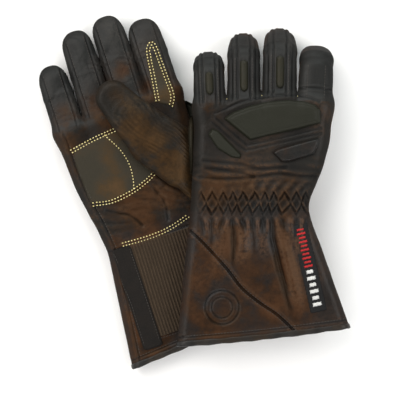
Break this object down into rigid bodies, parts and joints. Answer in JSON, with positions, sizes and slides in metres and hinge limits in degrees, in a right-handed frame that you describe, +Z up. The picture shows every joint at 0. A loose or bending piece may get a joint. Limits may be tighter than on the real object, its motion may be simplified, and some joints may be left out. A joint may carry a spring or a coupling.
{
  "type": "motorcycle riding gloves",
  "caption": "Pair of leather motorcycle gauntlet gloves with hinged fingers, folding thumbs, padded knuckle guards and closure flaps.",
  "frame": {"origin": "centre of the pair's bounding box, on the table surface it lies on", "axes": "+Z up from the table, +Y towards the fingertips, +X from the right-hand glove towards the left-hand glove, as the pair lies"},
  "size_m": [0.2912, 0.3296, 0.0655],
  "materials": {
    "black_leather": "dyed grain leather, slight sheen",
    "brown_leather": "soft grain leather, slight sheen",
    "cuff_leather": "smooth grain leather, semi-gloss",
    "guard_leather": "matte padded leather",
    "patch_leather": "matte suede leather",
    "binding_leather": "folded leather, satin",
    "ribbed_fabric": "ribbed loop fabric",
    "lining_fabric": "knitted lining",
    "elastic_fabric": "woven elastic",
    "flap_fabric": "matte woven tape",
    "hook_fabric": "hook tape",
    "label_fabric": "woven label"
  },
  "bodies": {
    "right_hand": {"right_back_panel": "black_leather", "right_cuff_back_inner": "cuff_leather", "right_cuff_back_outer": "cuff_leather", "right_cuff_palm_panel": "cuff_leather", "right_guard_side_pads": "guard_leather", "right_hem_binding": "binding_leather", "right_inner_side_strip": "black_leather", "right_knuckle_guard": "guard_leather", "right_lining": "lining_fabric", "right_outer_side_strip": "black_leather", "right_palm_panel": "brown_leather", "right_palm_patch": "patch_leather", "right_ribbed_panel": "ribbed_fabric", "right_woven_label": "label_fabric", "right_wrist_elastic": "elastic_fabric"},
    "right_flap": {"right_closure_flap": "flap_fabric", "right_hook_tape": "hook_fabric"},
    "right_thumb": {"right_thumb": "brown_leather"},
    "right_little_near": {"right_little_near": "black_leather", "right_little_pad": "guard_leather"},
    "right_little_tip": {"right_little_tip": "black_leather"},
    "right_ring_near": {"right_ring_near": "black_leather", "right_ring_pad": "guard_leather"},
    "right_ring_tip": {"right_ring_tip": "black_leather"},
    "right_middle_near": {"right_middle_near": "black_leather", "right_middle_pad": "guard_leather"},
    "right_middle_tip": {"right_middle_tip": "black_leather"},
    "right_index_near": {"right_index_near": "black_leather", "right_index_patch": "patch_leather"},
    "right_index_tip": {"right_index_tip": "black_leather"},
    "left_hand": {"left_back_panel": "black_leather", "left_cuff_back_inner": "cuff_leather", "left_cuff_back_outer": "cuff_leather", "left_cuff_palm_panel": "cuff_leather", "left_guard_side_pads": "guard_leather", "left_hem_binding": "binding_leather", "left_inner_side_strip": "black_leather", "left_knuckle_guard": "guard_leather", "left_lining": "lining_fabric", "left_outer_side_strip": "black_leather", "left_palm_panel": "brown_leather", "left_palm_patch": "patch_leather", "left_ribbed_panel": "ribbed_fabric", "left_woven_label": "label_fabric", "left_wrist_elastic": "elastic_fabric"},
    "left_flap": {"left_closure_flap": "flap_fabric", "left_hook_tape": "hook_fabric"},
    "left_thumb": {"left_thumb": "brown_leather"},
    "left_little_near": {"left_little_near": "black_leather", "left_little_pad": "guard_leather"},
    "left_little_tip": {"left_little_tip": "black_leather"},
    "left_ring_near": {"left_ring_near": "black_leather", "left_ring_pad": "guard_leather"},
    "left_ring_tip": {"left_ring_tip": "black_leather"},
    "left_middle_near": {"left_middle_near": "black_leather", "left_middle_pad": "guard_leather"},
    "left_middle_tip": {"left_middle_tip": "black_leather"},
    "left_index_near": {"left_index_near": "black_leather", "left_index_patch": "patch_leather"},
    "left_index_tip": {"left_index_tip": "black_leather"}
  },
  "joints": [
    {"name": "left_glove_lift", "type": "slide", "parent": "right_hand", "child": "left_hand", "axis": [0, 0, 1], "range_m": [0, 0.12]},
    {"name": "right_little_knuckle", "type": "hinge", "parent": "right_hand", "child": "right_little_near", "pos_m": [-0.1171, 0.06608, 0.022], "axis": [0.9511, 0.309, 0], "range_deg": [-8, 60], "stiffness_Nm_per_rad": 0.15},
    {"name": "right_little_middle_joint", "type": "hinge", "parent": "right_little_near", "child": "right_little_tip", "pos_m": [-0.12448, 0.08878, 0.01949], "axis": [0.9511, 0.309, 0], "range_deg": [0, 80], "stiffness_Nm_per_rad": 0.1},
    {"name": "right_ring_knuckle", "type": "hinge", "parent": "right_hand", "child": "right_ring_near", "pos_m": [-0.08823, 0.07862, 0.022], "axis": [0.9511, 0.309, 0], "range_deg": [-8, 10], "stiffness_Nm_per_rad": 0.15},
    {"name": "right_ring_middle_joint", "type": "hinge", "parent": "right_ring_near", "child": "right_ring_tip", "pos_m": [-0.09807, 0.10888, 0.01866], "axis": [0.9511, 0.309, 0], "range_deg": [0, 75], "stiffness_Nm_per_rad": 0.1},
    {"name": "right_middle_knuckle", "type": "hinge", "parent": "right_hand", "child": "right_middle_near", "pos_m": [-0.05937, 0.09115, 0.022], "axis": [0.9511, 0.309, 0], "range_deg": [-8, 10], "stiffness_Nm_per_rad": 0.15},
    {"name": "right_middle_middle_joint", "type": "hinge", "parent": "right_middle_near", "child": "right_middle_tip", "pos_m": [-0.06951, 0.12236, 0.01855], "axis": [0.9511, 0.309, 0], "range_deg": [0, 75], "stiffness_Nm_per_rad": 0.1},
    {"name": "right_index_knuckle", "type": "hinge", "parent": "right_hand", "child": "right_index_near", "pos_m": [-0.0295, 0.10085, 0.022], "axis": [0.9511, 0.309, 0], "range_deg": [-8, 35], "stiffness_Nm_per_rad": 0.15},
    {"name": "right_index_middle_joint", "type": "hinge", "parent": "right_index_near", "child": "right_index_tip", "pos_m": [-0.03811, 0.12734, 0.01907], "axis": [0.9511, 0.309, 0], "range_deg": [0, 75], "stiffness_Nm_per_rad": 0.1},
    {"name": "right_thumb_fold", "type": "hinge", "parent": "right_hand", "child": "right_thumb", "pos_m": [-0.01162, 0.03201, 0.0401], "axis": [-0.0698, 0.9976, 0], "range_deg": [0, 60], "stiffness_Nm_per_rad": 0.15},
    {"name": "right_flap_hinge", "type": "hinge", "parent": "right_hand", "child": "right_flap", "pos_m": [-0.07996, -0.0392, 0.02958], "axis": [0.3086, -0.9498, -0.0523], "range_deg": [0, 150]},
    {"name": "left_little_knuckle", "type": "hinge", "parent": "left_hand", "child": "left_little_near", "pos_m": [0.01475, 0.0867, 0.0435], "axis": [-0.9994, -0.0349, 0], "range_deg": [-20, 30], "stiffness_Nm_per_rad": 0.15},
    {"name": "left_little_middle_joint", "type": "hinge", "parent": "left_little_near", "child": "left_little_tip", "pos_m": [0.01393, 0.11032, 0.03933], "axis": [-0.9994, -0.0349, 0], "range_deg": [-50, 24], "stiffness_Nm_per_rad": 0.1},
    {"name": "left_ring_knuckle", "type": "hinge", "parent": "left_hand", "child": "left_ring_near", "pos_m": [0.04649, 0.0897, 0.0435], "axis": [-1, 0, 0], "range_deg": [-20, 30], "stiffness_Nm_per_rad": 0.15},
    {"name": "left_ring_middle_joint", "type": "hinge", "parent": "left_ring_near", "child": "left_ring_tip", "pos_m": [0.04649, 0.12121, 0.03794], "axis": [-1, 0, 0], "range_deg": [-45, 26], "stiffness_Nm_per_rad": 0.1},
    {"name": "left_middle_knuckle", "type": "hinge", "parent": "left_hand", "child": "left_middle_near", "pos_m": [0.07823, 0.0927, 0.0435], "axis": [-0.9998, 0.0175, 0], "range_deg": [-20, 30], "stiffness_Nm_per_rad": 0.15},
    {"name": "left_middle_middle_joint", "type": "hinge", "parent": "left_middle_near", "child": "left_middle_tip", "pos_m": [0.0788, 0.12519, 0.03777], "axis": [-0.9998, 0.0175, 0], "range_deg": [-45, 26], "stiffness_Nm_per_rad": 0.1},
    {"name": "left_index_knuckle", "type": "hinge", "parent": "left_hand", "child": "left_index_near", "pos_m": [0.10918, 0.0887, 0.0435], "axis": [-0.9986, 0.0523, 0], "range_deg": [-20, 30], "stiffness_Nm_per_rad": 0.15},
    {"name": "left_index_middle_joint", "type": "hinge", "parent": "left_index_near", "child": "left_index_tip", "pos_m": [0.11062, 0.11624, 0.03864], "axis": [-0.9986, 0.0523, 0], "range_deg": [-50, 20], "stiffness_Nm_per_rad": 0.1},
    {"name": "left_thumb_fold", "type": "hinge", "parent": "left_hand", "child": "left_thumb", "pos_m": [0.10145, 0.0277, 0.0254], "axis": [0.2079, -0.9781, 0], "range_deg": [0, 20], "stiffness_Nm_per_rad": 0.15},
    {"name": "left_flap_hinge", "type": "hinge", "parent": "left_hand", "child": "left_flap", "pos_m": [0.00345, -0.01349, 0.03593], "axis": [0, 0.9976, 0.0698], "range_deg": [0, 8]}
  ]
}
